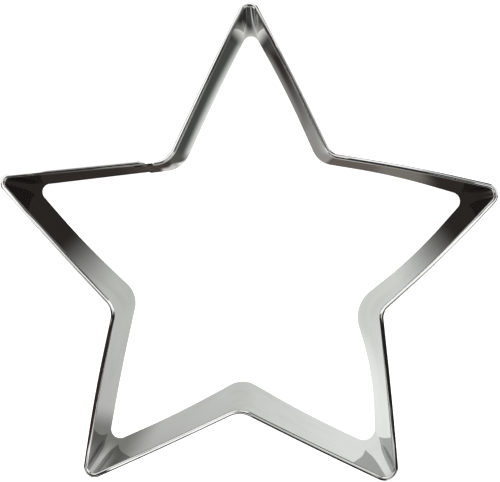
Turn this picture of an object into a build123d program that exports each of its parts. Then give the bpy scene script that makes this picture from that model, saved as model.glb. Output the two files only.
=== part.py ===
from build123d import *
import os
from math import atan2, cos, radians, sin, tan

os.makedirs("parts", exist_ok=True)

# A five-pointed star cookie cutter, bent by hand from one strip of stainless sheet.
# All lengths are millimetres. +Z points from the cutting edge up to the rolled rim, and +Y
# points to the tip that is at the top when the star is looked at from above.
# The origin is the middle of the star's outline, on the plane of the cutting edge.

# The star
point_count = 5
tip_reach = 64.5
valley_reach = 33.0
star_turn = -1.0

# The strip
band_height = 22.0
sheet = 0.3

# The rolled rim: the strip's top edge is curled outwards and down
rim_width = 1.15
rim_drop = 2.6
lip_gap = 0.2
# The curl is round between its shoulders, and its hidden hollow has two corners. Both are
# given in degrees from the crown.
shoulder_angle = 50.0
hollow_angle = 35.0

# Bend radii on the strip's inner face, at the rim and at the cutting edge
tip_rim_radius = 1.7
tip_edge_radius = 3.0
valley_rim_radius = 5.4
valley_edge_radius = 7.2

# The lap: the two ends of the strip overlap on the limb before the last valley.
# The straights run along that limb, from where the bend of that valley ends at the rim.
lap_straight = 0.9
lap_length = 4.4
lap_clearance = 0.02
rim_end_straight = 0.7
rim_break = 1.9
rim_mitre = 1.6

# The spot welds
weld_count = 3
weld_diameter = 2.0
weld_pitch = 5.5
weld_dimple = 0.05

# How far a cutting tool runs past what it cuts, and how far apart two edges may be and still join
overrun = 1.0
join_slack = 0.0001

# The bends as the hand left them, one value for each corner, clockwise from the top tip.
# A reach share scales the reach of a regular star, a turn is in degrees anticlockwise, and
# a bow share is the outward swell of the limb after the corner as a share of its length.
rim_reach_shares = [1.005, 1.020, 0.995, 1.025, 0.995, 1.030, 1.015, 1.000, 0.990, 0.955]
rim_turns = [0.3, 0.7, 0.3, 1.8, 0.0, -1.4, -0.3, 0.0, -0.9, 0.5]
rim_bow_shares = [0.010, 0.015, 0.020, 0.005, 0.005, 0.005, 0.015, 0.005, 0.0, 0.005]
rim_radius_shares = [0.90, 0.85, 1.05, 0.80, 1.30, 1.20, 0.90, 1.05, 0.75, 1.15]
edge_reach_shares = [1.005, 1.025, 0.980, 0.955, 0.980, 0.990, 1.015, 0.975, 0.980, 0.960]
edge_turns = [0.3, 1.8, -0.2, -3.1, -0.4, -1.4, -0.4, -0.7, -0.5, 0.0]
edge_bow_shares = [0.020, 0.030, 0.045, 0.065, 0.020, 0.020, 0.010, 0.025, 0.0, 0.010]
edge_radius_shares = [0.75, 0.90, 0.85, 1.30, 1.05, 0.95, 0.85, 1.00, 0.75, 1.05]
# Share of each half limb that its gentle swell takes up
swell_share = 0.5

# Height at which the flat wall ends and the curl of the rim starts
curl_level = band_height - rim_width / 2


def corner(index, reach_shares, turns):
    """Place of one corner of the star's inner face, where its two limbs would meet."""
    reach = tip_reach if index % 2 == 0 else valley_reach
    angle = radians(90 + star_turn - index * 180 / point_count + turns[index])
    return Vector(cos(angle), sin(angle)) * reach * reach_shares[index]


def last_bend_reach():
    """Distance along the rim from the corner of the last valley to the end of its bend."""
    corners = [corner(index, rim_reach_shares, rim_turns) for index in (-2, -1, 0)]
    turn = (corners[1] - corners[0]).get_angle(corners[2] - corners[1])
    return valley_rim_radius * rim_radius_shares[-1] * tan(radians(turn) / 2)


def left_of(direction):
    """Unit vector to the left of a direction, which is outwards along the strip."""
    return Vector(-direction.Y, direction.X).normalized()


def strip_line(out, start, end, reach_shares, turns, bow_shares, radius_shares, radii, level):
    """One long line of the strip, out from its inner face, with every bend rounded.

    The strip starts on the lap, goes clockwise round the star and ends on the lap again, one
    layer further out. Start and end are the distances of its two ends from the corner of the
    last valley.
    """
    count = 2 * point_count
    corners = [corner(index, reach_shares, turns) for index in range(count)]
    lap_way = (corners[-2] - corners[-1]).normalized()
    route = [corners[-1] + lap_way * start, corners[-1]]
    bends = [radii[1] * radius_shares[-1]]
    for index in range(count - 1):
        here, there = corners[index - 1], corners[index]
        bow = bow_shares[index - 1] * (there - here).length
        half = (there - here).length / 2
        route += [(here + there) / 2 + left_of(there - here) * bow, there]
        bends += [half * swell_share / tan(atan2(bow, half)), radii[index % 2] * radius_shares[index]]
    route.append(corners[-1] + lap_way * end)
    return offset_line(route, bends, out, level)


def offset_line(route, bends, out, level):
    """Shift a route outwards and round its corners with bends that share their centres."""
    ways = [(b - a).normalized() for a, b in zip(route, route[1:])]
    lefts = [left_of(way) for way in ways]
    shifts = [out] * (len(ways) - 1) + [out + sheet + lap_clearance]
    points = [route[0] + lefts[0] * shifts[0]]
    radii = []
    for index, radius in enumerate(bends):
        first, second = lefts[index], lefts[index + 1]
        near, far = shifts[index], shifts[index + 1]
        turn = first.dot(second)
        move = (first * (near - far * turn) + second * (far - near * turn)) / (1 - turn * turn)
        points.append(route[index + 1] + move)
        right_hand = ways[index].cross(ways[index + 1]).Z < 0
        radii.append(radius + out if right_hand else radius - out)
    points.append(route[-1] + lefts[-1] * shifts[-1])
    return Pos(0, 0, level) * FilletPolyline(*points, radius=radii)


def rim_line(out, start, end, level):
    """A line of the strip as it is bent at the rim."""
    return strip_line(out, start, end, rim_reach_shares, rim_turns, rim_bow_shares,
                      rim_radius_shares, (tip_rim_radius, valley_rim_radius), level)


def edge_line(out, start, end, level):
    """A line of the strip as it is bent at the cutting edge."""
    return strip_line(out, start, end, edge_reach_shares, edge_turns, edge_bow_shares,
                      edge_radius_shares, (tip_edge_radius, valley_edge_radius), level)


def ring_between(inner, outer):
    """Closed wire round the thin strip of material between two lines of the strip."""
    ends = [Line(inner @ 1, outer @ 1), Line(outer @ 0, inner @ 0)]
    return Wire([*inner.edges(), *outer.edges(), *ends])


# Distances from the corner of the last valley to the end of the outer layer, to the end of
# the inner layer and to the first and the second cut end of the rim
outer_lap_end = last_bend_reach() + lap_straight
inner_lap_end = outer_lap_end + lap_length
rim_start = last_bend_reach() + rim_end_straight
rim_finish = rim_start + rim_break


def make_wall():
    """The strip's flat wall, lapped at its ends and flared from its rim to its cutting edge."""
    ends = (inner_lap_end, outer_lap_end)
    edge_ring = ring_between(edge_line(0, *ends, 0), edge_line(sheet, *ends, 0))
    rim_ring = ring_between(rim_line(0, *ends, curl_level), rim_line(sheet, *ends, curl_level))
    return Solid.make_loft([edge_ring, rim_ring], ruled=True)


def make_rim():
    """The rolled rim: a curl and a lip, swept from one cut end of the rim to the other."""
    path = rim_line(0, rim_start, rim_finish, curl_level)
    start = Plane(origin=path @ 0, x_dir=left_of(path % 0), z_dir=path % 0)
    finish = Plane(origin=path @ 1, x_dir=left_of(path % 1), z_dir=-(path % 1))
    rolled = sweep(start * rim_section(), path)
    return rolled - mitre_cut(start) - mitre_cut(finish)


def rim_section():
    """Section of the rolled rim: x runs outwards from the inner face, y runs up."""
    crown = rim_width / 2
    hollow = crown - sheet
    lip_bottom = crown - rim_drop
    lip_inside = sheet + lip_gap
    near_shoulder, far_shoulder = on_curl(crown, shoulder_angle), on_curl(crown, -shoulder_angle)
    rolled_top = ThreePointArc(near_shoulder, (crown, crown), far_shoulder)
    sides = Polyline(far_shoulder, (rim_width, 0), (lip_inside + sheet, lip_bottom),
                     (lip_inside, lip_bottom), (rim_width - sheet, 0),
                     on_curl(hollow, -hollow_angle), on_curl(hollow, hollow_angle),
                     (sheet, 0), (0, 0), near_shoulder)
    return make_face([*rolled_top.edges(), *sides.edges()])


def on_curl(radius, lean):
    """Point of the curl's section, leaning from straight up towards the inside of the star."""
    angle = radians(lean)
    return (rim_width / 2 - radius * sin(angle), radius * cos(angle))


def mitre_cut(end):
    """Wedge that takes the outer corner off one cut end of the rim."""
    reach = rim_width + overrun
    ground = Plane(origin=end.origin, x_dir=end.x_dir, z_dir=end.y_dir)
    back = ground.to_local_coords(end.origin - end.z_dir * overrun).Y
    deep = ground.to_local_coords(end.origin + end.z_dir * rim_mitre * reach / rim_width).Y
    outline = make_face(Polyline((0, 0), (reach, deep), (reach, back), (0, back), close=True))
    return extrude(ground * outline, amount=rim_drop + overrun, both=True)


def lap_point(distance, level, out):
    """Point on the lap, out from the inner face, at a distance from the last valley's corner."""
    places = []
    for reach_shares, turns in ((edge_reach_shares, edge_turns), (rim_reach_shares, rim_turns)):
        valley = corner(2 * point_count - 1, reach_shares, turns)
        tip = corner(2 * point_count - 2, reach_shares, turns)
        way = (tip - valley).normalized()
        places.append(valley + way * distance + left_of(-way) * out)
    share = level / curl_level
    return places[0] * (1 - share) + places[1] * share + Vector(0, 0, level)


def make_lap_block():
    """The space that the two lapped layers and the clearance between them fill."""
    thick = 2 * sheet + lap_clearance
    rings = []
    for level in (0, curl_level):
        far, near = inner_lap_end, outer_lap_end
        corners = [lap_point(far, level, 0), lap_point(near, level, 0),
                   lap_point(near, level, thick), lap_point(far, level, thick)]
        rings.append(Wire(Polyline(*corners, close=True).edges()))
    return Solid.make_loft(rings, ruled=True)


def make_weld_pin(level):
    """Round pin square through the lap, at the height of one weld."""
    middle = (inner_lap_end + outer_lap_end) / 2
    inner = lap_point(middle, level, 0)
    way = (lap_point(middle, level, sheet) - inner).normalized()
    plane = Plane(origin=inner - way * overrun, z_dir=way)
    thick = 2 * sheet + lap_clearance
    return extrude(plane * Circle(weld_diameter / 2), amount=thick + 2 * overrun)


def make_weld(level, pin):
    """One weld nugget: it fills the hole in both layers, with the electrode's dent at each end."""
    middle = (inner_lap_end + outer_lap_end) / 2
    thick = 2 * sheet + lap_clearance
    radius = weld_diameter / 2
    dent = (radius * radius + weld_dimple * weld_dimple) / (2 * weld_dimple)
    inside = lap_point(middle, level, weld_dimple - dent)
    outside = lap_point(middle, level, thick - weld_dimple + dent)
    nugget = make_lap_block() & pin
    return nugget - Pos(*inside) * Sphere(dent) - Pos(*outside) * Sphere(dent)


band = make_wall().fuse(make_rim(), tol=join_slack)
weld_levels = [curl_level / 2 + weld_pitch * (index - (weld_count - 1) / 2)
               for index in range(weld_count)]
welds = []
for level in weld_levels:
    pin = make_weld_pin(level)
    band -= pin
    welds.append(make_weld(level, pin))

middle = band.bounding_box().center()
to_origin = Pos(-middle.X, -middle.Y, 0)
export_step(to_origin * band, "parts/star_band.step")
for index, weld in enumerate(welds):
    export_step(to_origin * weld, f"parts/spot_weld_{index + 1}.step")
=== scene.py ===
import logging
from bisect import bisect_right
from dataclasses import dataclass
from enum import Enum
from math import atan2, cos, pi, radians, sin, tan
from typing import Sequence

import bpy
from mathutils import Matrix, Vector


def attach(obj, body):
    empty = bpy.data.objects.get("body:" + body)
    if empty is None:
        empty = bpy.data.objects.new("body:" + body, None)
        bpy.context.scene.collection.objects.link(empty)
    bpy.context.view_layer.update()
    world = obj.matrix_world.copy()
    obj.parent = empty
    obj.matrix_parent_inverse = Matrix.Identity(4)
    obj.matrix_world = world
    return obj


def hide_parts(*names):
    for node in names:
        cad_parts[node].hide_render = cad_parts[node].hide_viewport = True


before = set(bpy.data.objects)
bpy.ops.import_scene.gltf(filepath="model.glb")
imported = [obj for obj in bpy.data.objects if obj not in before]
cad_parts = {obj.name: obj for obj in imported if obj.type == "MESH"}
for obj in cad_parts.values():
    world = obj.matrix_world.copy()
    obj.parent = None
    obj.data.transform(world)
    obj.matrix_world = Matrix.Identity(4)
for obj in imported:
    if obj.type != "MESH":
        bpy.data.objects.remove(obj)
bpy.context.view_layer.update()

MM = 0.001
PLACE = "strip_place"
MIX_COLOURS = (6, 7)
MIX_RESULT = 2

log = logging.getLogger("star_cutter")

Point = tuple[float, float]
Place = tuple[float, float, float]
Row = tuple[float, ...]
Span = tuple[Point | None, Point | None]
Settings = dict[str, object]
Inputs = dict[str | int, object]


class Slot(Enum):
    """Material slots of the record."""

    STRIP = "strip_steel"
    WELD = "weld_steel"


class Ray(Enum):
    """Kinds of ray that a stage object answers."""

    SEEN = "seen"
    MIRRORED = "mirrored"


class Wire:
    """One output socket of a shader, on which sums are written as plain expressions."""

    def __init__(self, shader: "Shader", socket: bpy.types.NodeSocket) -> None:
        """Keep the output socket and the shader that new nodes go into."""
        self.shader = shader
        self.socket = socket

    def _math(self, operation: str, *values: "Wire | float") -> "Wire":
        """Add one Math node with the values as its inputs, in order."""
        return self.shader.node("ShaderNodeMath", {"operation": operation},
                                dict(enumerate(values)))

    def __add__(self, other: "Wire | float") -> "Wire":
        """Sum."""
        return self._math("ADD", self, other)

    def __radd__(self, other: float) -> "Wire":
        """Sum with the number first."""
        return self._math("ADD", other, self)

    def __sub__(self, other: "Wire | float") -> "Wire":
        """Difference."""
        return self._math("SUBTRACT", self, other)

    def __rsub__(self, other: float) -> "Wire":
        """Difference with the number first."""
        return self._math("SUBTRACT", other, self)

    def __mul__(self, other: "Wire | float") -> "Wire":
        """Product."""
        return self._math("MULTIPLY", self, other)

    def __rmul__(self, other: float) -> "Wire":
        """Product with the number first."""
        return self._math("MULTIPLY", other, self)

    def __truediv__(self, other: "Wire | float") -> "Wire":
        """Quotient."""
        return self._math("DIVIDE", self, other)

    def __rtruediv__(self, other: float) -> "Wire":
        """Quotient with the number first."""
        return self._math("DIVIDE", other, self)

    def __abs__(self) -> "Wire":
        """Size without sign."""
        return self._math("ABSOLUTE", self)

    def power(self, exponent: float) -> "Wire":
        """Raise to a power."""
        return self._math("POWER", self, exponent)

    def least(self, other: "Wire | float") -> "Wire":
        """Lower of two values."""
        return self._math("MINIMUM", self, other)

    def most(self, other: "Wire | float") -> "Wire":
        """Higher of two values."""
        return self._math("MAXIMUM", self, other)

    def step(self, low: float, high: float) -> "Wire":
        """Smooth rise from 0 at low to 1 at high, or a fall where low is the higher.

        Args:
            low: Value that gives 0.
            high: Value that gives 1.

        Returns:
            The eased value, never outside 0 to 1.
        """
        rising = low < high
        return self.shader.node(
            "ShaderNodeMapRange", {"interpolation_type": "SMOOTHSTEP", "clamp": True},
            {"Value": self, "From Min": min(low, high), "From Max": max(low, high),
             "To Min": 0.0 if rising else 1.0, "To Max": 1.0 if rising else 0.0})


class Shader:
    """The node tree of one material or of the world."""

    def __init__(self, tree: bpy.types.NodeTree) -> None:
        """Keep the node tree and empty it."""
        self.tree = tree
        tree.nodes.clear()

    def add(self, kind: str, settings: Settings | None = None,
            inputs: Inputs | None = None) -> bpy.types.Node:
        """Add one node.

        Args:
            kind: The node's type.
            settings: Its properties, which are set first.
            inputs: Values or wires by socket name or number.

        Returns:
            The node.
        """
        node = self.tree.nodes.new(kind)
        for name, value in (settings or {}).items():
            setattr(node, name, value)
        for name, value in (inputs or {}).items():
            if isinstance(value, Wire):
                self.tree.links.new(value.socket, node.inputs[name])
            else:
                node.inputs[name].default_value = value
        return node

    def node(self, kind: str, settings: Settings | None = None,
             inputs: Inputs | None = None, output: str | int = 0) -> Wire:
        """Add one node and hand back one of its output sockets."""
        return Wire(self, self.add(kind, settings, inputs).outputs[output])

    def split(self, vector: Wire) -> tuple[Wire, Wire, Wire]:
        """Part a vector into X, Y and Z."""
        x, y, z = self.add("ShaderNodeSeparateXYZ", inputs={"Vector": vector}).outputs
        return Wire(self, x), Wire(self, y), Wire(self, z)

    def stretch(self, vector: Wire, by: Row) -> Wire:
        """Multiply a vector by another, number by number."""
        return self.node("ShaderNodeVectorMath", {"operation": "MULTIPLY"}, {0: vector, 1: by})

    def distance(self, vector: Wire, to: Row) -> Wire:
        """Distance of a place from a fixed one."""
        return self.node("ShaderNodeVectorMath", {"operation": "DISTANCE"},
                         {0: vector, 1: to}, "Value")

    def blend(self, share: Wire | float, first: Wire | Row, second: Wire | Row) -> Wire:
        """Mix two colours: the first where the share is 0, the second where it is 1."""
        inputs = {"Factor": share, MIX_COLOURS[0]: first, MIX_COLOURS[1]: second}
        return self.node("ShaderNodeMix", {"data_type": "RGBA"}, inputs, MIX_RESULT)

    def noise(self, vector: Wire, scale: float, detail: float, roughness: float) -> Wire:
        """Cloudy pattern between 0 and 1, with finer layers and how strong those are."""
        return self.node("ShaderNodeTexNoise", inputs={
            "Vector": vector, "Scale": scale, "Detail": detail, "Roughness": roughness})

    def flat_place(self) -> tuple[Wire, Wire]:
        """Place on a card, along X and along Y, in millimetres."""
        x, y, _ = self.split(self.node("ShaderNodeTexCoord", output="Object"))
        return x / MM, y / MM

    def finish(self, surface: Wire, kind: str = "ShaderNodeOutputMaterial") -> None:
        """Send a surface to the tree's output."""
        self.add(kind, inputs={"Surface": surface})


def new_material(name: str) -> tuple[bpy.types.Material, Shader]:
    """Make a material and its empty shader.

    Args:
        name: The material's name.

    Returns:
        The material and the shader.
    """
    material = bpy.data.materials.new(name)
    material.use_nodes = True
    return material, Shader(material.node_tree)


def new_object(name: str, data: bpy.types.ID) -> bpy.types.Object:
    """Make an object in the scene.

    Args:
        name: Its name.
        data: Its mesh, light or camera.

    Returns:
        The object.
    """
    made = bpy.data.objects.new(name, data)
    bpy.context.scene.collection.objects.link(made)
    return made


@dataclass(frozen=True)
class Grain:
    """Cloudy pattern stretched over the strip: repeats per metre along, up and outwards."""

    stretch: Row
    detail: float
    roughness: float

    def over(self, s: Shader, place: Wire) -> Wire:
        """The pattern's value at a place of the strip, between 0 and 1."""
        return s.noise(s.stretch(place, self.stretch), 1.0, self.detail, self.roughness)


@dataclass(frozen=True)
class PolishedSheet:
    """Bright stainless sheet as it comes from the roll and the bending block.

    The lengths are in metres. The strip's own places are its distance along the strip and
    its height above the cutting edge. A pair of numbers is where a pattern starts to show
    and where it shows fully. A share says how strongly it shows.
    """

    name: str = "polished_stainless_sheet"
    colour: Row = (0.515, 0.515, 0.51, 1.0)
    smudged: Row = (0.46, 0.455, 0.445, 1.0)
    scratched: Row = (0.42, 0.42, 0.415, 1.0)
    # Painted shade: near-black colour for the raw sheet edges, standing for the shade that the
    # rolled rim casts on the top edge at the lap.
    raw_edge_painted_shade: Row = (0.10, 0.09, 0.085, 1.0)
    glancing: Row = (0.80, 0.80, 0.80, 1.0)
    straw_tint: Row = (0.50, 0.40, 0.27, 1.0)
    blue_tint: Row = (0.33, 0.35, 0.42, 1.0)
    mirror_roughness: float = 0.04
    dull_roughness: float = 0.15
    cross_grain: Grain = Grain((5200.0, 160.0, 1.0), 3.0, 0.65)
    coarse_grain: Grain = Grain((900.0, 45.0, 1.0), 2.0, 0.6)
    rolled_grain: Grain = Grain((18.0, 2600.0, 1.0), 2.0, 0.5)
    clouds: Grain = Grain((70.0, 110.0, 1.0), 3.0, 0.55)
    waves: Grain = Grain((60.0, 90.0, 1.0), 1.0, 0.4)
    cross_marks: Point = (0.52, 0.78)
    coarse_marks: Point = (0.4, 0.75)
    rolled_marks: Point = (0.55, 0.8)
    smudge_marks: Point = (0.42, 0.72)
    smudge_share: float = 0.8
    scratch_share: float = 0.6
    tint_share: float = 0.5
    straw_start: Point = (0.05, 0.45)
    straw_end: Point = (0.55, 0.95)
    blue_start: Point = (0.6, 1.0)
    wear_height: float = 0.0009
    crown_height: float = 0.0213
    crown_fade: float = 0.0007
    crown_wear_share: float = 0.10
    least_wear: float = 0.35
    sheet: float = 0.0003
    cut_fade: Point = (0.05, 0.15)
    cut_top: Point = (0.00018, 0.00015)
    least_edge_shade_share: float = 0.7
    weld_halo: float = 0.0026
    smudge_dullness: float = 0.35
    scratch_dullness: float = 0.5
    rolled_dullness: float = 0.18
    wear_dullness: float = 0.55
    cross_relief: float = 0.5
    coarse_relief: float = 0.3
    rolled_relief: float = 0.2
    scratch_strength: float = 0.55
    scratch_depth: float = 0.0000016
    wave_strength: float = 0.5
    wave_depth: float = 0.00006

    def material(self, welds: Sequence[Row]) -> bpy.types.Material:
        """Make the finish.

        Args:
            welds: Centres of the spot welds, whose heat tints the sheet.

        Returns:
            The material.
        """
        material, s = new_material(self.name)
        place = s.node("ShaderNodeAttribute", {"attribute_name": PLACE}, output="Vector")
        _, height, out = s.split(place)
        cross = self.cross_grain.over(s, place)
        coarse = self.coarse_grain.over(s, place)
        rolled = self.rolled_grain.over(s, place)
        scratches = cross.step(*self.cross_marks) * coarse.step(*self.coarse_marks)
        smudge = self.clouds.over(s, place).step(*self.smudge_marks)
        wear = self._wear(height, coarse)
        # Raw edges: really duller, and painted dark as shade from the rolled rim.
        cut = self._raw_edge_and_shade(height, out)

        colour = s.blend(smudge * self.smudge_share, self.colour, self.smudged)
        colour = s.blend(scratches * self.scratch_share, colour, self.scratched)
        colour = self._tinted(s, colour, welds)
        # Painted shade: the raw edges are darkened to stand for the shade that the rolled rim
        # casts on the top edge at the lap.
        edge_shade_share = self.least_edge_shade_share + (1 - self.least_edge_shade_share) * coarse
        colour = s.blend(cut * edge_shade_share, colour, self.raw_edge_painted_shade)

        dullness = (smudge * self.smudge_dullness + scratches * self.scratch_dullness
                    + rolled.step(*self.rolled_marks) * self.rolled_dullness
                    + wear * self.wear_dullness + cut).least(1.0)
        span = self.dull_roughness - self.mirror_roughness
        relief = (cross * self.cross_relief + coarse * self.coarse_relief
                  + rolled * self.rolled_relief)
        fine = s.node("ShaderNodeBump", inputs={
            "Strength": self.scratch_strength, "Distance": self.scratch_depth,
            "Height": relief})
        bumped = s.node("ShaderNodeBump", inputs={
            "Strength": self.wave_strength, "Distance": self.wave_depth,
            "Height": self.waves.over(s, place), "Normal": fine})
        s.finish(s.node("ShaderNodeBsdfPrincipled", inputs={
            "Base Color": colour, "Metallic": 1.0,
            "Roughness": self.mirror_roughness + dullness * span,
            "Specular Tint": self.glancing, "Normal": bumped}))
        return material

    def _wear(self, height: Wire, coarse: Wire) -> Wire:
        """How worn the sheet is at its cutting edge and on the rim's crown.

        Args:
            height: Height above the cutting edge.
            coarse: The coarse grain, which breaks the wear up.

        Returns:
            The wear, 0 to 1.
        """
        edge = height.step(self.wear_height, 0.0)
        crown = height.step(self.crown_height, self.crown_height + self.crown_fade)
        return (edge.most(crown * self.crown_wear_share) * (self.least_wear + coarse)).least(1.0)

    def _raw_edge_and_shade(self, height: Wire, out: Wire) -> Wire:
        """Where the cut ends of the strip show the middle of the sheet, which is duller there and
        is painted dark as the shade that the rolled rim casts on it.

        Args:
            height: Height above the cutting edge.
            out: Distance outwards from the strip's inner face.

        Returns:
            1 within a cut end, 0 elsewhere.
        """
        start, full = (share * self.sheet for share in self.cut_fade)
        top, top_full = (self.crown_height + rise for rise in self.cut_top)
        return (out.step(start, full) * out.step(self.sheet - start, self.sheet - full)
                * height.step(top, top_full))

    def _tinted(self, s: Shader, colour: Wire, welds: Sequence[Row]) -> Wire:
        """Tint a colour round the welds, straw further out and blue close by.

        Args:
            s: The finish's shader.
            colour: The colour so far.
            welds: Centres of the welds.

        Returns:
            The tinted colour.
        """
        solid = s.node("ShaderNodeTexCoord", output="Object")
        near = s.distance(solid, welds[0])
        for weld in welds[1:]:
            near = near.least(s.distance(solid, weld))
        heat = near.step(self.weld_halo, 0.0)
        ring = heat.step(*self.straw_start) * (1 - heat.step(*self.straw_end))
        colour = s.blend(ring * self.tint_share, colour, self.straw_tint)
        return s.blend(heat.step(*self.blue_start) * self.tint_share, colour, self.blue_tint)


@dataclass(frozen=True)
class WeldMark:
    """Sheet pressed and burnt by the welding tongs, in metres."""

    name: str = "pressed_weld_steel"
    colour: Row = (0.33, 0.30, 0.28, 1.0)
    burnt: Row = (0.14, 0.12, 0.11, 1.0)
    smooth: float = 0.14
    matt: float = 0.4
    grain: float = 4200.0
    grain_detail: float = 3.0
    grain_roughness: float = 0.65
    grain_strength: float = 0.6
    grain_depth: float = 0.000004
    blotches: float = 1300.0
    blotch_detail: float = 2.0
    blotch_roughness: float = 0.5
    blotch_marks: Point = (0.5, 0.7)
    blotch_share: float = 0.4
    soot_ring: Point = (0.00055, 0.0009)
    soot_share: float = 0.7

    def material(self) -> bpy.types.Material:
        """Make the finish.

        Returns:
            The material.
        """
        material, s = new_material(self.name)
        place = s.node("ShaderNodeAttribute", {"attribute_name": PLACE}, output="Vector")
        solid = s.node("ShaderNodeTexCoord", output="Object")
        radius, _, _ = s.split(place)
        grain = s.noise(solid, self.grain, self.grain_detail, self.grain_roughness)
        blotches = s.noise(solid, self.blotches, self.blotch_detail, self.blotch_roughness)
        soot = (radius.step(*self.soot_ring) * self.soot_share
                + blotches.step(*self.blotch_marks) * self.blotch_share).least(1.0)
        bump = s.node("ShaderNodeBump", inputs={
            "Strength": self.grain_strength, "Distance": self.grain_depth, "Height": grain})
        s.finish(s.node("ShaderNodeBsdfPrincipled", inputs={
            "Base Color": s.blend(soot, self.colour, self.burnt), "Metallic": 1.0,
            "Roughness": self.smooth + grain * (self.matt - self.smooth),
            "Normal": bump}))
        return material


@dataclass(frozen=True)
class HandBends:
    """How the hand left the bends of the strip at one height, in millimetres and degrees.

    There is one value for each corner, clockwise from the top tip. A reach share scales the
    reach of a regular star, a turn is anticlockwise, and a bow share is the outward swell of
    the limb after the corner as a share of its length.
    """

    tip_radius: float
    valley_radius: float
    reach_shares: Row
    turns: Row
    bow_shares: Row
    radius_shares: Row


RIM_BENDS = HandBends(
    tip_radius=1.7,
    valley_radius=5.4,
    reach_shares=(1.005, 1.020, 0.995, 1.025, 0.995, 1.030, 1.015, 1.000, 0.990, 0.955),
    turns=(0.3, 0.7, 0.3, 1.8, 0.0, -1.4, -0.3, 0.0, -0.9, 0.5),
    bow_shares=(0.010, 0.015, 0.020, 0.005, 0.005, 0.005, 0.015, 0.005, 0.0, 0.005),
    radius_shares=(0.90, 0.85, 1.05, 0.80, 1.30, 1.20, 0.90, 1.05, 0.75, 1.15),
)
EDGE_BENDS = HandBends(
    tip_radius=3.0,
    valley_radius=7.2,
    reach_shares=(1.005, 1.025, 0.980, 0.955, 0.980, 0.990, 1.015, 0.975, 0.980, 0.960),
    turns=(0.3, 1.8, -0.2, -3.1, -0.4, -1.4, -0.4, -0.7, -0.5, 0.0),
    bow_shares=(0.020, 0.030, 0.045, 0.065, 0.020, 0.020, 0.010, 0.025, 0.0, 0.010),
    radius_shares=(0.75, 0.90, 0.85, 1.30, 1.05, 0.95, 0.85, 1.00, 0.75, 1.05),
)


@dataclass(frozen=True)
class Station:
    """One place on a line of the strip: the point, its outward direction and its distance."""

    point: Vector
    out: Vector
    distance: float

    def shifted(self, by: float) -> Vector:
        """The point moved outwards."""
        return self.point + self.out * by


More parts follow.
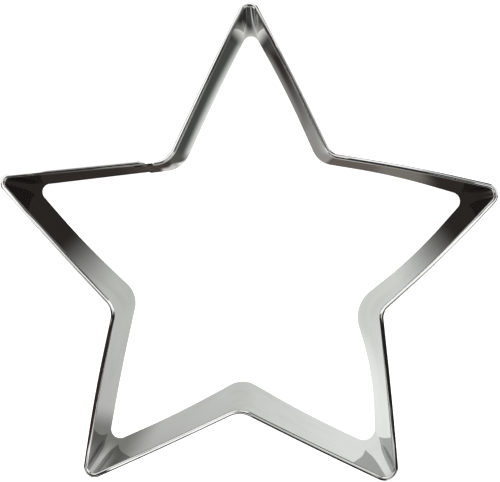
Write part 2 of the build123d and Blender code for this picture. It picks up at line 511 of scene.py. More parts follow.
@dataclass(frozen=True)
class StripLine:
    """The inner face of the strip at one height, with every bend rounded, in millimetres."""

    bends: HandBends
    point_count: int = 5
    tip_reach: float = 64.5
    valley_reach: float = 33.0
    star_turn: float = -1.0
    swell_share: float = 0.5
    lap_step: float = 0.32
    swell_steps: int = 10
    least_steps: int = 6
    valley_turn: float = 62.0
    tip_turn: float = 142.0

    def corner(self, index: int) -> Vector:
        """Place of one corner of the star, where its two limbs would meet.

        Args:
            index: Number of the corner, clockwise from the top tip.

        Returns:
            The place.
        """
        bends = self.bends
        reach = self.tip_reach if index % 2 == 0 else self.valley_reach
        angle = radians(90 + self.star_turn - index * 180 / self.point_count + bends.turns[index])
        return Vector((cos(angle), sin(angle))) * reach * bends.reach_shares[index]

    def last_bend_reach(self) -> float:
        """Work out how far the bend of the last valley reaches along its limbs.

        Returns:
            Distance from the corner to the end of its bend.
        """
        before, valley, after = (self.corner(index) for index in (-2, -1, 0))
        turn = (valley - before).angle(after - valley)
        return self.bends.valley_radius * self.bends.radius_shares[-1] * tan(turn / 2)

    def route(self, start: float, end: float) -> tuple[list[Vector], list[float]]:
        """Corners and bend radii from one end of the strip to the other.

        Args:
            start: Distance of the strip's inner end from the corner of the last valley.
            end: Distance of its outer end from the same corner.

        Returns:
            The corners, with the swell of each limb among them, and the radii between.
        """
        bends = self.bends
        count = 2 * self.point_count
        corners = [self.corner(index) for index in range(count)]
        lap_way = (corners[-2] - corners[-1]).normalized()
        points = [corners[-1] + lap_way * start, corners[-1]]
        radii = [bends.valley_radius * bends.radius_shares[-1]]
        for index in range(count - 1):
            here, there = corners[index - 1], corners[index]
            bow = bends.bow_shares[index - 1] * (there - here).length
            half = (there - here).length / 2
            points += [(here + there) / 2 + left_of(there - here) * bow, there]
            radius = bends.valley_radius if index % 2 else bends.tip_radius
            radii += [half * self.swell_share / tan(atan2(bow, half)),
                      radius * bends.radius_shares[index]]
        points.append(corners[-1] + lap_way * end)
        return self._step_out_at_lap(points), radii

    def _step_out_at_lap(self, points: list[Vector]) -> list[Vector]:
        """Move the last limb out by the lap's step, so that it lies outside the first.

        Args:
            points: The corners as they are without the lap.

        Returns:
            The corners with the last two moved.
        """
        before, tip, end = points[-3:]
        first, second = left_of(tip - before), left_of(end - tip)
        turn = first.dot(second)
        move = (second - first * turn) * self.lap_step / (1 - turn * turn)
        return [*points[:-2], tip + move, end + second * self.lap_step]

    def stations(self, start: float, end: float, cuts: dict[int, list[float]],
                 line_steps: int, bend_step: float) -> list[Station]:
        """Walk the line from end to end.

        Args:
            start: Distance of the strip's inner end from the corner of the last valley.
            end: Distance of its outer end from the same corner.
            cuts: Shares along a straight, by the straight's number, that get a station too.
            line_steps: Stations on each straight.
            bend_step: Greatest turn between two stations of a bend, in degrees.

        Returns:
            The stations.
        """
        points, radii = self.route(start, end)
        places: list[tuple[Vector, Vector]] = []
        here = points[0]
        for index, radius in enumerate(radii):
            corner, ahead = points[index + 1], points[index + 2]
            way, next_way = (corner - points[index]).normalized(), (ahead - corner).normalized()
            turn = atan2(way.x * next_way.y - way.y * next_way.x, way.dot(next_way))
            reach = radius * tan(abs(turn) / 2)
            first, last = corner - way * reach, corner + next_way * reach
            shares = sorted({step / line_steps for step in range(line_steps)}
                            | set(cuts.get(index, [])))
            places += [(here.lerp(first, share), left_of(way)) for share in shares]
            steps = self.bend_steps(index, bend_step)
            side = 1 if turn > 0 else -1
            centre = first + left_of(way) * radius * side
            for step in range(steps):
                angle = turn * step / steps
                spoke = turned(first - centre, angle)
                places.append((centre + spoke, turned(left_of(way), angle)))
            here = last
        final = (points[-1] - here).normalized()
        number = len(radii)
        shares = sorted({step / line_steps for step in range(line_steps + 1)}
                        | set(cuts.get(number, [])))
        places += [(here.lerp(points[-1], share), left_of(final)) for share in shares]
        return self._measured(places)

    def bend_steps(self, index: int, bend_step: float) -> int:
        """Number of stations in a bend, of which valley, swell, tip and swell take turns.

        Args:
            index: Number of the bend along the strip.
            bend_step: Greatest turn between two stations, in degrees.

        Returns:
            The number, the same at every height.
        """
        if index % 2 == 1:
            return self.swell_steps
        widest = self.valley_turn if index % 4 == 0 else self.tip_turn
        return max(self.least_steps, round(widest / bend_step))

    @staticmethod
    def _measured(places: Sequence[tuple[Vector, Vector]]) -> list[Station]:
        """Add the distance along the line to each place.

        Args:
            places: Points and their outward directions, in order.

        Returns:
            The stations.
        """
        result: list[Station] = []
        distance = 0.0
        for point, out in places:
            if result:
                distance += (point - result[-1].point).length
            result.append(Station(point, out, distance))
        return result


def left_of(direction: Vector) -> Vector:
    """Unit vector to the left of a direction, which is outwards along the strip."""
    return Vector((-direction.y, direction.x)).normalized()


def turned(vector: Vector, angle: float) -> Vector:
    """A flat vector turned anticlockwise by an angle in radians."""
    c, s = cos(angle), sin(angle)
    return Vector((vector.x * c - vector.y * s, vector.x * s + vector.y * c))


def eased(value: float) -> float:
    """Smooth rise from 0 to 1 for a value from 0 to 1."""
    value = min(max(value, 0.0), 1.0)
    return value * value * (3 - 2 * value)


@dataclass
class MeshDraft:
    """Vertices and faces of one piece while it is drawn, in millimetres.

    An edge stays sharp from the sharp angle on, in degrees.
    """

    name: str
    sharp_angle: float

    def __post_init__(self) -> None:
        """Start with nothing drawn."""
        self.points: list[Place] = []
        self.places: list[Place] = []
        self.faces: list[tuple[int, ...]] = []

    def add(self, x: float, y: float, z: float, place: Place) -> int:
        """Add a vertex.

        Args:
            x: Place along X.
            y: Place along Y.
            z: Height.
            place: The vertex's place for the finish.

        Returns:
            Its number.
        """
        self.points.append((x, y, z))
        self.places.append(place)
        return len(self.points) - 1

    def bridge(self, first: Sequence[int], second: Sequence[int]) -> None:
        """Fill the space between two rows of vertices with quads."""
        for a, b, c, d in zip(first, first[1:], second[1:], second):
            self.faces.append((a, b, c, d))

    def finished(self) -> bpy.types.Object:
        """Turn the draft into an object.

        Returns:
            The object, in the scene.
        """
        mesh = bpy.data.meshes.new(self.name)
        mesh.from_pydata([tuple(c * MM for c in p) for p in self.points], [], self.faces)
        attribute = mesh.attributes.new(PLACE, "FLOAT_VECTOR", "POINT")
        attribute.data.foreach_set("vector", [c * MM for place in self.places for c in place])
        mesh.validate()
        mesh.shade_smooth()
        mesh.set_sharp_from_angle(angle=radians(self.sharp_angle))
        mesh.update()
        return new_object(self.name, mesh)


@dataclass
class StarBand:
    """The steel strip: flat wall, rolled rim and lap, in millimetres."""

    height: float = 22.0
    sheet: float = 0.3
    rim_width: float = 1.144
    rim_drop: float = 2.6
    lip_gap: float = 0.2
    lap_straight: float = 0.9
    lap_length: float = 4.4
    lap_clearance: float = 0.02
    rim_end_straight: float = 0.7
    rim_break: float = 1.9
    mitre: float = 0.5
    mitre_blend: float = 1.4
    crimp_length: float = 2.0
    crimp_share: float = 0.55
    start_share: float = 0.75
    least_rise: float = 0.75
    worn_corner: float = 0.05
    sharp_angle: float = 38.0
    line_steps: int = 8
    fine_step: float = 0.35
    fine_steps: int = 7
    bend_step: float = 5.0
    wall_rows: int = 14
    curl_steps: int = 22
    lip_rows: int = 4

    def __post_init__(self) -> None:
        """Work out the strip's stations at the rim and at the cutting edge."""
        self.curl_level = self.height - self.rim_width / 2
        rim, edge = StripLine(RIM_BENDS), StripLine(EDGE_BENDS)
        bend = rim.last_bend_reach()
        self.outer_end = bend + self.lap_straight
        self.inner_end = self.outer_end + self.lap_length
        self.rim_start = bend + self.rim_end_straight
        self.rim_finish = self.rim_start + self.rim_break
        ends = (self.inner_end, self.outer_end)
        first = (self.inner_end - self.rim_start) / (self.inner_end - bend)
        points, radii = rim.route(*ends)
        straight = self._last_straight(points, radii)
        last = 1 - (self.rim_finish - self.outer_end) / straight
        fine = [last - step * self.fine_step / straight
                for step in range(1, self.fine_steps + 1)]
        cuts = {0: [first], len(radii): [*fine, last, last + (1 - last) / 2]}
        self.rim_stations = rim.stations(*ends, cuts, self.line_steps, self.bend_step)
        self.edge_stations = edge.stations(*ends, cuts, self.line_steps, self.bend_step)
        whole = self.rim_stations[-1].distance
        self.rim_from = self.inner_end - self.rim_start
        self.rim_to = whole - (self.rim_finish - self.outer_end)
        self.centre = self._box_centre()

    @staticmethod
    def _last_straight(points: list[Vector], radii: list[float]) -> float:
        """Measure the strip's last straight, from the last tip's bend to its end.

        Args:
            points: Corners of the strip's route.
            radii: Its bend radii.

        Returns:
            The straight's length.
        """
        before, tip, end = points[-3:]
        turn = (tip - before).angle(end - tip)
        return (end - tip).length - radii[-1] * tan(turn / 2)

    def _box_centre(self) -> Vector:
        """Find the middle of the star's outline, which is the frame's origin.

        Returns:
            The place, on the strip's own drawing.
        """
        outline = [station.shifted(self.rim_width) for station in self.rim_stations
                   if self.rim_from <= station.distance <= self.rim_to]
        xs, ys = [p.x for p in outline], [p.y for p in outline]
        return Vector(((min(xs) + max(xs)) / 2, (min(ys) + max(ys)) / 2))

    def wall_point(self, index: int, out: float, level: float) -> Vector:
        """Place on the wall at one station.

        Args:
            index: Number of the station.
            out: Distance outwards from the inner face.
            level: Height above the cutting edge.

        Returns:
            The place, from the frame's origin.
        """
        share = level / self.curl_level
        low = self.edge_stations[index].shifted(out)
        high = self.rim_stations[index].shifted(out)
        return low.lerp(high, share) - self.centre

    def lap_point(self, distance: float, out: float, level: float) -> Vector:
        """Place on the lap.

        Args:
            distance: Distance from the corner of the last valley.
            out: Distance outwards from the inner face of the inner layer.
            level: Height above the cutting edge.

        Returns:
            The place, from the frame's origin.
        """
        places = []
        for bends in (EDGE_BENDS, RIM_BENDS):
            line = StripLine(bends)
            valley, tip = line.corner(-1), line.corner(-2)
            way = (tip - valley).normalized()
            places.append(valley + way * distance + left_of(-way) * out)
        return places[0].lerp(places[1], level / self.curl_level) - self.centre

    def rim_place(self, distance: float) -> Station:
        """Find a place on the rim line between two stations.

        Args:
            distance: Distance along the line.

        Returns:
            The place, as a station.
        """
        stations = self.rim_stations
        distances = [station.distance for station in stations]
        index = min(max(bisect_right(distances, distance) - 1, 0), len(stations) - 2)
        a, b = stations[index], stations[index + 1]
        share = (distance - a.distance) / (b.distance - a.distance)
        return Station(a.point.lerp(b.point, share), a.out.lerp(b.out, share).normalized(),
                       distance)

    def curl_section(self) -> list[Point]:
        """Section of the rolled rim from the wall's inner face round to its outer face.

        Returns:
            Points as distance outwards and height above the curl's level.
        """
        crown = self.rim_width / 2
        hollow = crown - self.sheet
        lip_bottom = crown - self.rim_drop
        lip_in = self.sheet + self.lip_gap
        worn = self.worn_corner
        steps = self.curl_steps
        outer = [(crown - crown * cos(pi * k / steps), crown * sin(pi * k / steps))
                 for k in range(steps + 1)]
        lip_out = lip_in + self.sheet
        fall = [(self.rim_width + (lip_out - self.rim_width) * k / self.lip_rows,
                 (lip_bottom + worn) * k / self.lip_rows) for k in range(1, self.lip_rows + 1)]
        foot = [(lip_out - worn, lip_bottom), (lip_in + worn, lip_bottom),
                (lip_in, lip_bottom + worn)]
        back = [(lip_in + (crown + hollow - lip_in) * k / self.lip_rows,
                 (lip_bottom + worn) * (1 - k / self.lip_rows))
                for k in range(1, self.lip_rows + 1)]
        inner = [(crown + hollow * cos(pi * k / steps), hollow * sin(pi * k / steps))
                 for k in range(1, steps + 1)]
        return [*outer, *fall, *foot, *back, *inner]

    def curl_vertex(self, distance: float, out: float, rise: float) -> tuple[Vector, float]:
        """Place of one point of the curl, with the shape of the rim's two cut ends.

        Args:
            distance: Distance along the strip.
            out: Distance outwards in the curl's section.
            rise: Height above the curl's level in the section.

        Returns:
            The flat place and the rise there.
        """
        from_start, to_finish = distance - self.rim_from, self.rim_to - distance
        lean = max(out, 0.0) / self.rim_width
        if from_start < self.mitre_blend:
            distance += self.mitre * lean * (1 - from_start / self.mitre_blend)
        if to_finish < self.mitre_blend:
            distance -= self.mitre * lean * (1 - to_finish / self.mitre_blend)
        start = (self.start_share
                 + (1 - self.start_share) * eased(from_start / self.crimp_length))
        finish = (self.crimp_share
                  + (1 - self.crimp_share) * eased(to_finish / self.crimp_length))
        squeeze = min(start, finish)
        if out > self.sheet:
            out = self.sheet + (out - self.sheet) * squeeze
        if rise > 0:
            rise *= self.least_rise + (1 - self.least_rise) * squeeze
        return self.rim_place(distance).shifted(out) - self.centre, rise

    def build(self) -> bpy.types.Object:
        """Draw the strip.

        Returns:
            The strip's object.
        """
        draft = MeshDraft("star_band_strip", self.sharp_angle)
        inner, outer = [], []
        worn = self.worn_corner
        levels = [0.0, worn] + [worn + (self.curl_level - worn) * k / self.wall_rows
                                for k in range(1, self.wall_rows + 1)]
        for index, station in enumerate(self.rim_stations):
            along = station.distance
            for rows, out, inset in ((inner, 0.0, worn), (outer, self.sheet, -worn)):
                column = []
                for number, level in enumerate(levels):
                    shift = out + (inset if number == 0 else 0.0)
                    p = self.wall_point(index, shift, level)
                    column.append(draft.add(p.x, p.y, level, (along, level, out)))
                rows.append(column)
        for (a, b), (c, d) in zip(zip(inner, inner[1:]), zip(outer, outer[1:])):
            draft.bridge(b, a)
            draft.bridge(c, d)
            draft.faces.append((a[0], b[0], d[0], c[0]))
        draft.bridge(inner[0], outer[0])
        draft.bridge(outer[-1], inner[-1])
        self._roll_rim(draft, inner, outer)
        return draft.finished()

    def _roll_rim(self, draft: MeshDraft, inner: list[list[int]],
                  outer: list[list[int]]) -> None:
        """Draw the rolled rim, and the plain top edge where the strip has none.

        Args:
            draft: The strip's draft.
            inner: Columns of the wall's inner face.
            outer: Columns of its outer face.
        """
        section = self.curl_section()
        slack = 0.001
        rows: list[list[int]] = []
        for index, station in enumerate(self.rim_stations):
            if not self.rim_from - slack <= station.distance <= self.rim_to + slack:
                rows.append([])
                continue
            row = [inner[index][-1]]
            for out, rise in section[1:-1]:
                p, lift = self.curl_vertex(station.distance, out, rise)
                level = self.curl_level + lift
                row.append(draft.add(p.x, p.y, level, (station.distance, level, out)))
            rows.append([*row, outer[index][-1]])
        for index in range(len(rows) - 1):
            if rows[index] and rows[index + 1]:
                draft.bridge(rows[index], rows[index + 1])
            else:
                draft.faces.append((inner[index][-1], inner[index + 1][-1],
                                    outer[index + 1][-1], outer[index][-1])[::-1])
        rolled = [row for row in rows if row]
        self._close_end(draft, rolled[0])
        self._close_end(draft, rolled[-1][::-1])

    def _close_end(self, draft: MeshDraft, row: list[int]) -> None:
        """Close one cut end of the rolled rim across the sheet's thickness.

        Args:
            draft: The strip's draft.
            row: The rim's row of vertices at that end.
        """
        half = self.curl_steps + self.lip_rows
        first, second = row[: half + 2], row[half + 2:][::-1]
        for a, b, c, d in zip(first, first[1:], second[1:], second):
            draft.faces.append((d, c, b, a))


@dataclass
class SpotWeld:
    """One spot weld: a disc pressed into both sides of the lap, in millimetres.

    Its floor reaches out to the floor's share of the radius, and its raised ring is highest
    at the ridge's share.
    """

    number: int
    radius: float = 1.0
    ridge: float = 0.014
    ridge_share: float = 0.86
    floor: float = 0.006
    floor_share: float = 0.68
    sink: float = 0.004
    sharp_angle: float = 50.0
    rings: int = 18
    spokes: int = 40

    def profile(self, share: float) -> float:
        """Height of the mark above the sheet.

        Args:
            share: Distance from the middle as a share of the radius.

        Returns:
            The height.
        """
        if share < self.floor_share:
            return self.floor
        if share < self.ridge_share:
            climb = (share - self.floor_share) / (self.ridge_share - self.floor_share)
            return self.floor + (self.ridge - self.floor) * eased(climb)
        fall = (share - self.ridge_share) / (1 - self.ridge_share)
        return self.ridge * (1 - eased(fall)) - self.sink * (share >= 1)

    def build(self, inside: Vector, outside: Vector) -> bpy.types.Object:
        """Draw the weld.

        Args:
            inside: Its middle on the inner face of the lap.
            outside: Its middle on the outer face of the lap.

        Returns:
            The weld's object.
        """
        draft = MeshDraft(f"spot_weld_mark_{self.number}", self.sharp_angle)
        axis = (outside - inside).normalized()
        up = Vector((0, 0, 1))
        side = up.cross(axis).normalized()
        faces = []
        for middle, way in ((inside, -axis), (outside, axis)):
            rings = [[self._add(draft, middle + way * self.profile(0.0), 0.0)]]
            for ring in range(1, self.rings + 1):
                share = ring / self.rings
                row = []
                for spoke in range(self.spokes):
                    angle = 2 * pi * spoke / self.spokes
                    ray = side * cos(angle) + up * sin(angle)
                    point = middle + ray * self.radius * share + way * self.profile(share)
                    row.append(self._add(draft, point, self.radius * share))
                rings.append(row)
            faces.append(rings)
        self._fill(draft, faces[0], flip=True)
        self._fill(draft, faces[1], flip=False)
        low, high = faces[0][-1], faces[1][-1]
        draft.bridge([*high, high[0]], [*low, low[0]])
        return draft.finished()

    @staticmethod
    def _add(draft: MeshDraft, point: Vector, radius: float) -> int:
        """Add one vertex with its distance from the weld's middle."""
        return draft.add(point.x, point.y, point.z, (radius, 0.0, 0.0))

    @staticmethod
    def _fill(draft: MeshDraft, rings: list[list[int]], flip: bool) -> None:
        """Fill one face of the weld.

        Args:
            draft: The weld's draft.
            rings: Its rings of vertices, from the middle out.
            flip: True on the face that looks the other way.
        """
        centre, first = rings[0][0], rings[1]
        new = [(centre, a, b) for a, b in zip(first, [*first[1:], first[0]])]
        for inner, outer in zip(rings[1:], rings[2:]):
            inner, outer = [*inner, inner[0]], [*outer, outer[0]]
            new += [(a, c, d, b) for a, b, c, d in zip(inner, inner[1:], outer, outer[1:])]
        draft.faces += [face[::-1] for face in new] if flip else new


@dataclass
class StarCutter:
    """The whole cutter: the strip and the welds that hold its lap."""

    band: StarBand
    weld_count: int = 3
    weld_pitch: float = 5.5
    body: str = "root"

    def weld_levels(self) -> list[float]:
        """Space the welds evenly about the middle of the wall.

        Returns:
            Their heights above the cutting edge.
        """
        middle = self.band.curl_level / 2
        return [middle + self.weld_pitch * (index - (self.weld_count - 1) / 2)
                for index in range(self.weld_count)]

    def build(self) -> None:
        """Draw and dress every piece."""
        band = self.band
        distance = (band.inner_end + band.outer_end) / 2
        thick = 2 * band.sheet + band.lap_clearance
        centres, marks = [], []
        for number, level in enumerate(self.weld_levels(), start=1):
            inside = band.lap_point(distance, 0.0, level).to_3d()
            outside = band.lap_point(distance, thick, level).to_3d()
            inside.z = outside.z = level
            centres.append(tuple(c * MM for c in (inside + outside) / 2))
            marks.append(SpotWeld(number).build(inside, outside))
        strip = band.build()
        self._dress(strip, PolishedSheet().material(centres), "star_band")
        mark_finish = WeldMark().material()
        for number, mark in enumerate(marks, start=1):
            self._dress(mark, mark_finish, f"spot_weld_{number}")

    def _dress(self, piece: bpy.types.Object, finish: bpy.types.Material,
               node: str) -> None:
        """Give a piece its finish and its place in the frame.

        Args:
            piece: The piece.
            finish: Its material.
            node: The solid that the piece stands for.
        """
        piece.data.materials.append(finish)
        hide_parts(node)
        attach(piece, self.body)
        log.info("%s: %d faces, stands for %s", piece.name, len(piece.data.polygons), node)


def square(half: float, level: float) -> list[Place]:
    """Corners of a flat square round the origin, anticlockwise from above."""
    return [(x * half, y * half, level) for x, y in ((-1, -1), (1, -1), (1, 1), (-1, 1))]


@dataclass(frozen=True)
class Border:
    """Soft straight border of a patch of tone.

    The direction is an angle from +X in degrees. Going that way, the patch is absent up to
    the start and whole from the end, both in millimetres from the origin.
    """

    direction: float
    start: float
    end: float
    origin: Point = (0.0, 0.0)

    def mask(self, x: Wire, y: Wire) -> Wire:
        """How much of the patch there is at a place, 0 to 1."""
        c, n = cos(radians(self.direction)), sin(radians(self.direction))
        return ((x - self.origin[0]) * c + (y - self.origin[1]) * n).step(self.start, self.end)


@dataclass(frozen=True)
class Patch:
    """Tone laid on a card within some borders, with a second tone past one more border."""

    tone: Row
    borders: tuple[Border, ...]
    strength: float = 1.0
    change: Border | None = None
    changed: Row | None = None

    def share(self, x: Wire, y: Wire) -> Wire:
        """How much of the patch there is at a place, 0 to 1.

        Args:
            x: Place along X.
            y: Place along Y.

        Returns:
            The share.
        """
        share = self.borders[0].mask(x, y) * self.strength
        for border in self.borders[1:]:
            share = share * border.mask(x, y)
        return share

    def over(self, s: Shader, below: Wire | Row, x: Wire, y: Wire) -> Wire:
        """Lay the patch over other tones.

        Args:
            s: The card's shader.
            below: The tones so far.
            x: Place along X.
            y: Place along Y.

        Returns:
            The tones together.
        """
        tone = self.tone
        if self.change is not None:
            tone = s.blend(self.change.mask(x, y), self.tone, self.changed)
        return s.blend(self.share(x, y), below, tone)


@dataclass(frozen=True)
class Guide:
    """Crossed guide lines on a card, from which patches are laid out.

    The first line runs at the turn in degrees from +X, the second a quarter turn
    anticlockwise from it. Both are measured from the origin, in millimetres. A strip has
    fades of its own across the first line and along the second.
    """

    origin: Point = (0.0, 0.0)
    turn: float = 0.0
    strip_fades: Point = (1.0, 2.0)

    def patch(self, tone: Row, first: Span, second: Span, *cuts: Border,
              **details: object) -> Patch:
        """Lay out a patch with soft sides along the guide lines.

        Args:
            tone: What it gives off.
            first: Where it rises and where it falls along the first line. A side that is
                None is left open.
            second: The same along the second line.
            cuts: Slanting borders that cut it off too.
            details: Other fields of the patch.

        Returns:
            The patch.
        """
        borders: list[Border] = []
        for turn, (rise, fall) in ((self.turn, first), (self.turn + 90, second)):
            if rise is not None:
                borders.append(Border(turn, *rise, self.origin))
            if fall is not None:
                borders.append(Border(turn + 180, -fall[1], -fall[0], self.origin))
        return Patch(tone, (*borders, *cuts), **details)

    def strip(self, tone: Row, first: Point, second: Point) -> Patch:
        """Lay out a strip along a limb's rim, with the usual softness.

        Args:
            tone: What it gives off.
            first: Where it starts and ends across the limb, outwards.
            second: Where it starts and ends along the limb, anticlockwise round the star.

        Returns:
            The patch.
        """
        across, along = ([(place - fade / 2, place + fade / 2) for place in places]
                         for places, fade in zip((first, second), self.strip_fades))
        return self.patch(tone, tuple(across), tuple(along))


BLACK = (0.025, 0.025, 0.025, 1.0)
BROWN = (0.060, 0.038, 0.032, 1.0)
DUSK = (0.15, 0.15, 0.15, 1.0)
GREY = (0.42, 0.42, 0.42, 1.0)
SILVER = (0.95, 0.95, 0.97, 1.0)
PALE = (1.15, 1.15, 1.15, 1.0)
WHITE = (1.95, 1.95, 1.95, 1.0)
PAPER = (1.0, 1.0, 1.0, 1.0)

OPEN = (None, None)
SQUARE = Guide()
LEFT_OF_TOP = Guide((-11.5, 35.0), 64.7)
RIGHT_OF_TOP = Guide((10.5, 36.0), -63.0)
UPPER_LEFT_RIM = Guide((-48.6, 18.3), 96.0)
UPPER_RIGHT_RIM = Guide((38.65, 19.2), 78.6)
TOP_RIGHT_RIM = Guide((14.3, 36.2), 26.1)
LOWER_LEFT_TIP_RIM = Guide((-40.5, -52.3), 150.0)
LOWER_LEFT_RIM = Guide((-24.5, -52.6), -66.0)
LOWER_RIGHT_RIM = Guide((14.6, -50.2), -115.9)


@dataclass(frozen=True)
class FootCard:
    """Disc under the cutter whose soft tones are what the polished walls mirror.

    The roof is the border of its dark upper part, which slopes down to both sides. The
    valleys lighten that part up to the ridge, and the lights are laid over it all, in order.
    """

    radius: float = 66.0
    middle: Point = (0.0, -6.0)
    drop: float = 0.8
    corners: int = 96
    left_near: Row = (0.94, 0.96, 0.92, 1.0)
    left_far: Row = (0.85, 0.86, 0.83, 1.0)
    right_near: Row = (1.14, 1.17, 1.12, 1.0)
    right_far: Row = (1.38, 1.41, 1.38, 1.0)
    shade: Row = (0.044, 0.036, 0.032, 1.0)
    sideways: Border = Border(0, -40, 40)
    downwards: Border = Border(-90, 5, 55)
    roof: Point = (22.0, 52.0)
    ridge: Point = (46.0, 54.0)
    roof_slope: float = 0.90
    roof_lean: float = 0.07
    valleys: tuple[Patch, ...] = (
        SQUARE.patch((0.18, 0.155, 0.135, 1.0), ((19.3, 21.2), None), ((11, 15), None)),
        SQUARE.patch((0.085, 0.068, 0.058, 1.0), (None, (-14.5, -11.5)), ((11, 15), None)),
    )
    lights: tuple[Patch, ...] = (
        SQUARE.patch((0.36, 0.365, 0.34, 1.0), (None, (-27, -20)), OPEN,
                     Border(-100, 53, 60.5)),
        SQUARE.patch((0.26, 0.245, 0.22, 1.0), ((33, 38), (45, 53)), ((12.5, 14.5), (20, 24))),
        RIGHT_OF_TOP.patch((0.43, 0.42, 0.40, 1.0), ((5, 9), (20, 24)), ((-2, 0.5), None),
                           Border(180, -22, -20.5)),
        LEFT_OF_TOP.patch((1.35, 1.38, 1.35, 1.0), ((-18.5, -15.5), (20, 24)),
                          ((-8, -5), (2, 4)), changed=(0.105, 0.11, 0.10, 1.0),
                          change=Border(LEFT_OF_TOP.turn - 90, -0.3, 2.4, LEFT_OF_TOP.origin)),
        RIGHT_OF_TOP.patch((0.52, 0.51, 0.49, 1.0), ((-20, -14), (2, 8)), ((0, 2), None),
                           strength=0.8),
        SQUARE.patch((0.90, 0.90, 0.86, 1.0), ((-25, -23.4), (-20.5, -18.5)),
                     ((17.9, 19.0), None)),
        LEFT_OF_TOP.patch((0.15, 0.15, 0.13, 1.0), ((-20, -18), (-15, -11)),
                          ((-5, -3), (-0.5, 0.1))),
        SQUARE.patch((1.10, 1.12, 1.06, 1.0), OPEN, ((53.0, 56.8), None)),
    )

    def tones(self, s: Shader) -> Wire:
        """Work out the card's tones.

        Args:
            s: The card's shader.

        Returns:
            The colour that it gives off.
        """
        x, y = s.flat_place()
        low = self.downwards.mask(x, y)
        left = s.blend(low, self.left_near, self.left_far)
        right = s.blend(low, self.right_near, self.right_far)
        height = y + self.roof_slope * abs(x) - self.roof_lean * x
        tone = s.blend(self.sideways.mask(x, y), left, right)
        tone = s.blend(height.step(*self.roof), tone, self.shade)
        for valley in self.valleys:
            tone = valley.over(s, tone, x, y)
        tone = s.blend(height.step(*self.ridge), tone, self.shade)
        for light in self.lights:
            tone = light.over(s, tone, x, y)
        return tone

    def outline(self) -> list[Place]:
        """Work out the corners of the disc.

        Returns:
            The corners, anticlockwise from above.
        """
        turn = 2 * pi / self.corners
        return [(self.middle[0] + self.radius * cos(k * turn),
                 self.middle[1] + self.radius * sin(k * turn), -self.drop)
                for k in range(self.corners)]


@dataclass(frozen=True)
class UpperCard:
    """Sheet above the cutter whose patches are what the rolled rim mirrors."""

    name: str
    level: float
    half_size: float
    patches: tuple[Patch, ...]

    def tones(self, s: Shader) -> tuple[Wire, Wire]:
        """Work out the sheet's tones and where it has any.

        Args:
            s: The sheet's shader.

        Returns:
            The colour that it gives off and the share of the sheet that is there.
        """
        x, y = s.flat_place()
        tone, there = self.patches[0].over(s, WHITE, x, y), self.patches[0].share(x, y)
        for patch in self.patches[1:]:
            tone = patch.over(s, tone, x, y)
            there = there.most(patch.share(x, y))
        return tone, there

    def outline(self) -> list[Place]:
        """Corners of the sheet."""
        return square(self.half_size, self.level)


HIGH_CARD = UpperCard(name="crown_card", level=60.0, half_size=115.0, patches=(
    SQUARE.patch(WHITE, ((48, 52), None), ((-31, -27), (8, 12))),
    SQUARE.patch(WHITE, (None, (-77, -73)), (None, (12, 16)), Border(114.2, -3.2, 0.5)),
    SQUARE.patch(BROWN, (None, (0, 4)), ((-97, -93), (-24, -20))),
    SQUARE.patch(BLACK, ((-37, -33), None), ((-56, -52), (-26, -22))),
    SQUARE.patch(BLACK, ((36, 40), None), ((-97, -93), (-26, -22))),
    SQUARE.patch(WHITE, ((-57, -53), (-4, 0)), (None, (-68, -64))),
    SQUARE.patch(BLACK, ((-2.5, 0.5), (40.5, 43.5)), OPEN, Border(-116.6, 37.1, 39.8)),
    LEFT_OF_TOP.patch(BLACK, ((-26, -20), (20, 26)), ((-16, -12), (3, 5))),
    SQUARE.patch(BLACK, ((-16, -13), (13, 16)), ((34, 38), (64, 66))),
    SQUARE.patch(BLACK, ((-40, -37), (-28, -26)), ((8, 12), (28, 31))),
))
LOW_CARD = UpperCard(name="rim_card", level=28.0, half_size=70.0, patches=(
    UPPER_LEFT_RIM.strip(BLACK, (-8.0, 0.3), (-22.5, 7.0)),
    UPPER_LEFT_RIM.strip(GREY, (0.3, 9.0), (-22.5, 4.0)),
    UPPER_RIGHT_RIM.strip(BLACK, (-6.0, 0.5), (-19.0, 14.0)),
    UPPER_RIGHT_RIM.strip(BLACK, (-3.0, 0.5), (-25.0, -18.0)),
    UPPER_RIGHT_RIM.strip(SILVER, (0.5, 7.0), (-25.0, -5.0)),
    TOP_RIGHT_RIM.strip(DUSK, (-3.0, 1.6), (-15.0, 15.0)),
    TOP_RIGHT_RIM.strip(GREY, (1.6, 11.0), (-14.0, 15.0)),
    LOWER_LEFT_TIP_RIM.strip(BLACK, (-27.0, -2.5), (-12.0, 9.0)),
    LOWER_LEFT_RIM.strip(WHITE, (-4.5, 5.5), (-13.0, 23.5)),
    LOWER_RIGHT_RIM.strip(PALE, (-9.0, -1.2), (-15.0, 21.0)),
    LOWER_RIGHT_RIM.strip(GREY, (-1.2, 1.0), (-15.0, 21.0)),
    LOWER_RIGHT_RIM.strip(BLACK, (1.0, 12.0), (-15.0, 21.0)),
))


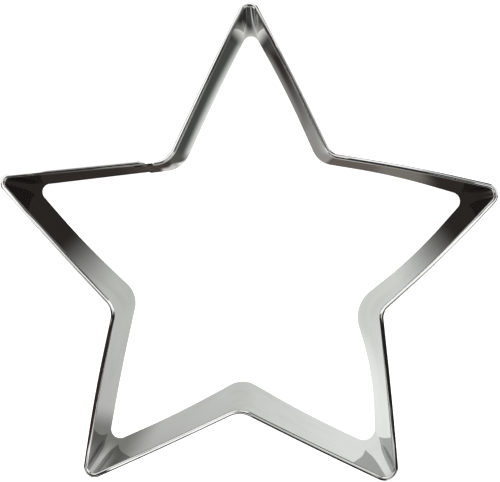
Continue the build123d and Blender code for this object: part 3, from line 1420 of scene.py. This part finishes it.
@dataclass(frozen=True)
class DarkSide:
    """Dark part of the surroundings: angles in degrees, the azimuth from +X.

    It fades over the softness at its sides and over the fade at its top and bottom.
    """

    azimuth: float
    half_width: float
    top: float
    tone: Row
    soft: float = 4.0
    bottom: float | None = None
    strength: float = 1.0
    fade: float = 8.0
    highest: float = 89.0
    zenith_guard: float = 1.0001

    def over(self, s: Shader, below: Wire, direction: tuple[Wire, Wire, Wire]) -> Wire:
        """Lay it over the surroundings.

        Args:
            s: The surroundings' shader.
            below: Their tone so far.
            direction: The three numbers of the direction.

        Returns:
            The tones together.
        """
        x, y, z = direction
        c, n = cos(radians(self.azimuth)), sin(radians(self.azimuth))
        facing = (x * c + y * n) / (self.zenith_guard - z * z).power(0.5)
        share = facing.step(cos(radians(self.half_width + self.soft)),
                            cos(radians(self.half_width - self.soft)))
        share = share * z.step(sin(radians(min(self.top + self.fade, self.highest))),
                               sin(radians(self.top - self.fade)))
        if self.bottom is not None:
            share = share * z.step(sin(radians(self.bottom - self.fade)),
                                   sin(radians(self.bottom + self.fade)))
        return s.blend(share * self.strength, below, self.tone)


@dataclass
class Studio:
    """Pale floor, soft light and what the bright steel mirrors, in millimetres."""

    floor_size: float = 6000.0
    backdrop_height: float = 3000.0
    floor_colour: Row = (0.50, 0.50, 0.50, 1.0)
    floor_roughness: float = 0.9
    floor_glow: float = 1.0
    ground: Row = (0.30, 0.30, 0.30, 1.0)
    ground_light: DarkSide = DarkSide(113, 16, 0, WHITE, soft=6)
    horizon: Point = (0.03, -0.05)
    foot_card: FootCard = FootCard()
    upper_cards: tuple[UpperCard, ...] = (HIGH_CARD, LOW_CARD)
    dark_sides: tuple[DarkSide, ...] = (
        DarkSide(-15, 15, 80, BLACK),
        DarkSide(-171, 13, 76, BROWN),
        DarkSide(-104, 11, 78, BLACK),
        DarkSide(-117, 18, 70, BLACK, soft=5, bottom=25),
        DarkSide(-84, 10, 78, BLACK),
        DarkSide(-78, 38, 79, BLACK, soft=8, bottom=57),
        DarkSide(-146, 14, 76, BROWN, soft=6, bottom=58, strength=0.8),
        DarkSide(54, 8, 50, BLACK, strength=0.9),
    )
    lamp_size: float = 600.0
    lamp_power: float = 3.0
    lamp_place: Place = (250.0, 350.0, 900.0)

    def build(self) -> None:
        """Set the floor, the cards, the surroundings and the lamp."""
        self._floor()
        self._backdrop()
        self._foot_card()
        for card in self.upper_cards:
            self._upper_card(card)
        self._surroundings()
        self._lamp()

    @staticmethod
    def _sheet(name: str, corners: list[Place], rays: Ray,
               faces: list[tuple[int, ...]] | None = None) -> bpy.types.Object:
        """Make one stage object of flat faces.

        Args:
            name: Its name.
            corners: Its corners.
            rays: Whether it is seen or only mirrored.
            faces: Corners of each face, by number; left out for one face, anticlockwise
                from above.

        Returns:
            The object.
        """
        mesh = bpy.data.meshes.new(name)
        mesh.from_pydata([tuple(c * MM for c in corner) for corner in corners], [],
                         faces or [tuple(range(len(corners)))])
        sheet = new_object(name, mesh)
        seen = rays is Ray.SEEN
        sheet.visible_camera = seen
        sheet.visible_diffuse = seen
        sheet.visible_glossy = not seen
        sheet.visible_shadow = seen
        return sheet

    @staticmethod
    def _material(sheet: bpy.types.Object, name: str) -> Shader:
        """Give a stage object a new material.

        Args:
            sheet: The object.
            name: The material's name.

        Returns:
            The material's empty shader.
        """
        material, s = new_material(name)
        sheet.data.materials.append(material)
        return s

    def _floor(self) -> None:
        """Lay the pale floor."""
        floor = self._sheet("pale_floor", square(self.floor_size / 2, 0.0), Ray.SEEN)
        s = self._material(floor, "pale_floor_paper")
        s.finish(s.node("ShaderNodeBsdfPrincipled", inputs={
            "Base Color": self.floor_colour, "Roughness": self.floor_roughness,
            "Emission Color": PAPER, "Emission Strength": self.floor_glow}))
        log.info("floor laid")

    def _backdrop(self) -> None:
        """Stand pale walls round the floor, which light nothing."""
        low = square(self.floor_size / 2, 0.0)
        high = square(self.floor_size / 2, self.backdrop_height)
        count = len(low)
        faces = [(k, (k + 1) % count, count + (k + 1) % count, count + k)
                 for k in range(count)]
        walls = self._sheet("pale_backdrop", [*low, *high], Ray.SEEN, faces)
        walls.visible_diffuse = False
        walls.visible_shadow = False
        s = self._material(walls, "pale_backdrop_paper")
        s.finish(s.node("ShaderNodeEmission", inputs={"Color": PAPER}))
        log.info("backdrop stood")

    def _foot_card(self) -> None:
        """Lay the mirrored disc just under the floor."""
        disc = self._sheet("foot_card", self.foot_card.outline(), Ray.MIRRORED)
        s = self._material(disc, "foot_card_tones")
        s.finish(s.node("ShaderNodeEmission", inputs={"Color": self.foot_card.tones(s)}))
        log.info("foot card laid")

    def _upper_card(self, card: UpperCard) -> None:
        """Hang a mirrored sheet above the rim.

        Args:
            card: The sheet.
        """
        sheet = self._sheet(card.name, card.outline(), Ray.MIRRORED)
        s = self._material(sheet, f"{card.name}_tones")
        tone, there = card.tones(s)
        s.finish(s.node("ShaderNodeMixShader", inputs={
            "Fac": there, 1: s.node("ShaderNodeBsdfTransparent"),
            2: s.node("ShaderNodeEmission", inputs={"Color": tone})}))
        log.info("%s hung, %d patches", card.name, len(card.patches))

    def _surroundings(self) -> None:
        """Light the scene from all round, with the dark sides that the rim mirrors."""
        world = bpy.data.worlds.new("soft_surroundings")
        world.use_nodes = True
        bpy.context.scene.world = world
        s = Shader(world.node_tree)
        direction = s.split(s.node("ShaderNodeTexCoord", output="Generated"))
        tone = s.blend(direction[2].step(*self.horizon), WHITE, self.ground)
        tone = self.ground_light.over(s, tone, direction)
        for side in self.dark_sides:
            tone = side.over(s, tone, direction)
        s.finish(s.node("ShaderNodeBackground", inputs={"Color": tone}),
                 "ShaderNodeOutputWorld")
        log.info("surroundings lit, %d dark sides", len(self.dark_sides))

    def _lamp(self) -> None:
        """Hang one large soft lamp overhead."""
        data = bpy.data.lights.new("soft_overhead", "AREA")
        data.shape = "DISK"
        data.size = self.lamp_size * MM
        data.energy = self.lamp_power
        lamp = new_object("soft_overhead", data)
        lamp.location = Vector(self.lamp_place) * MM
        lamp.rotation_euler = (-lamp.location).to_track_quat("-Z", "Y").to_euler()
        lamp.visible_glossy = False
        log.info("lamp hung")


@dataclass(frozen=True)
class PhotoCamera:
    """Camera where the photograph was taken from, in metres."""

    picture_width: float = 500.0
    focal_pixels: float = 606.0
    sensor: float = 36.0
    place: Place = (0.00427, 0.00741, 0.169)
    aim: Place = (0.00075, 0.00098, 0.022)
    clip_start: float = 0.01
    clip_end: float = 20.0

    def build(self) -> None:
        """Make the camera, with the picture's right along the frame's X."""
        data = bpy.data.cameras.new("photo_camera")
        data.sensor_width = self.sensor
        data.lens = self.sensor * self.focal_pixels / self.picture_width
        data.clip_start, data.clip_end = self.clip_start, self.clip_end
        camera = new_object("photo_camera", data)
        place, aim = Vector(self.place), Vector(self.aim)
        ahead = (aim - place).normalized()
        right = ahead.cross(Vector((0, 1, 0))).normalized()
        up = right.cross(ahead)
        turn = Matrix((right, up, -ahead)).transposed().to_4x4()
        camera.matrix_world = Matrix.Translation(place) @ turn
        bpy.context.scene.camera = camera
        log.info("camera placed")


def main() -> None:
    """Build the cutter, the studio and the camera."""
    logging.basicConfig(level=logging.INFO, format="%(name)s: %(message)s")
    bpy.context.scene.view_settings.view_transform = "Standard"
    PhotoCamera().build()
    StarCutter(StarBand()).build()
    Studio().build()


if __name__ == "__main__":
    main()
